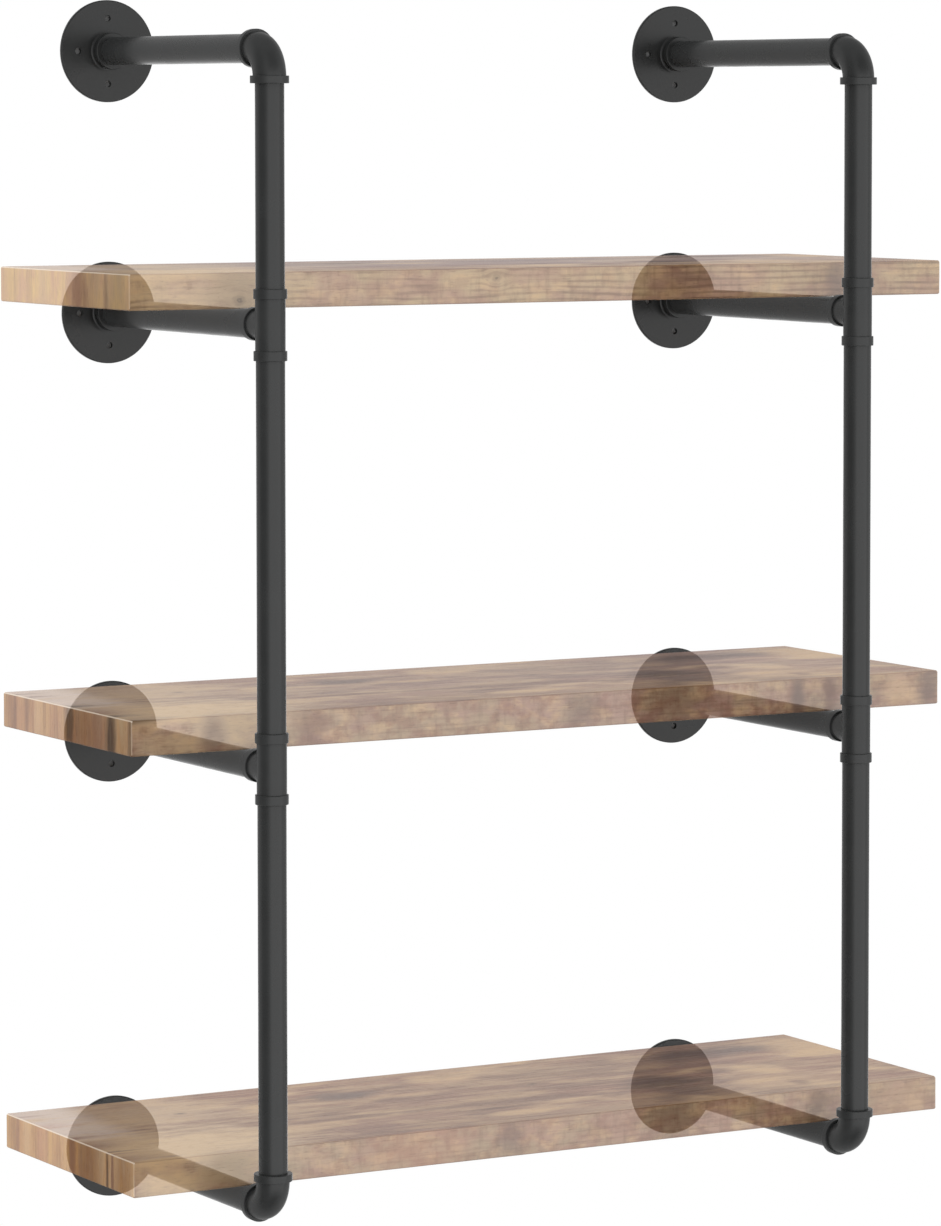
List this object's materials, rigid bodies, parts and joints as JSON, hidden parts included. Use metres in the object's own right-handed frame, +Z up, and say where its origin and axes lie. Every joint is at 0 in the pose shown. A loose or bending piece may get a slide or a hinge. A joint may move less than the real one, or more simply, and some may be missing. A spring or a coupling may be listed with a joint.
{
  "type": "pipe shelving unit",
  "caption": "Wall-hung pipe shelving: two columns of black pipe, flanges, elbows and tees carry rustic wooden boards that lie loose on the arms.",
  "frame": {"origin": "on the wall plane, midway between the two columns and midway between the top and bottom rows of arms: the centre of the rectangle formed by the top holes of the top flanges and the bottom holes of the bottom flanges", "axes": "+Z up; +Y into the wall, square to the flanges' backs; +X to the right of someone facing the wall"},
  "size_m": [0.88, 0.3597, 1.1556],
  "materials": {
    "black_fitting": "malleable iron fitting, matt charcoal-black coating",
    "black_pipe": "steel pipe, satin charcoal-black coating",
    "rustic_wood": "reclaimed softwood, brushed, with knots and grey-brown stain"
  },
  "bodies": {
    "pipe_frame": {"left_wall_flange_1": "black_fitting", "left_arm_1": "black_pipe", "left_wall_flange_2": "black_fitting", "left_arm_2": "black_pipe", "left_wall_flange_3": "black_fitting", "left_arm_3": "black_pipe", "left_wall_flange_4": "black_fitting", "left_arm_4": "black_pipe", "left_top_elbow": "black_fitting", "left_tee_2": "black_fitting", "left_tee_3": "black_fitting", "left_bottom_elbow": "black_fitting", "left_riser_upper": "black_pipe", "left_riser_middle": "black_pipe", "left_riser_lower": "black_pipe", "right_wall_flange_1": "black_fitting", "right_arm_1": "black_pipe", "right_wall_flange_2": "black_fitting", "right_arm_2": "black_pipe", "right_wall_flange_3": "black_fitting", "right_arm_3": "black_pipe", "right_wall_flange_4": "black_fitting", "right_arm_4": "black_pipe", "right_top_elbow": "black_fitting", "right_tee_2": "black_fitting", "right_tee_3": "black_fitting", "right_bottom_elbow": "black_fitting", "right_riser_upper": "black_pipe", "right_riser_middle": "black_pipe", "right_riser_lower": "black_pipe"},
    "top_board": {"shelf_board_top": "rustic_wood"},
    "middle_board": {"shelf_board_middle": "rustic_wood"},
    "bottom_board": {"shelf_board_bottom": "rustic_wood"}
  },
  "joints": [
    {"name": "top_board_lift", "type": "slide", "parent": "pipe_frame", "child": "top_board", "axis": [0, 0, 1], "range_m": [0, 0.187]},
    {"name": "middle_board_lift", "type": "slide", "parent": "pipe_frame", "child": "middle_board", "axis": [0, 0, 1], "range_m": [0, 0.341]},
    {"name": "bottom_board_lift", "type": "slide", "parent": "pipe_frame", "child": "bottom_board", "axis": [0, 0, 1], "range_m": [0, 0.341]}
  ]
}
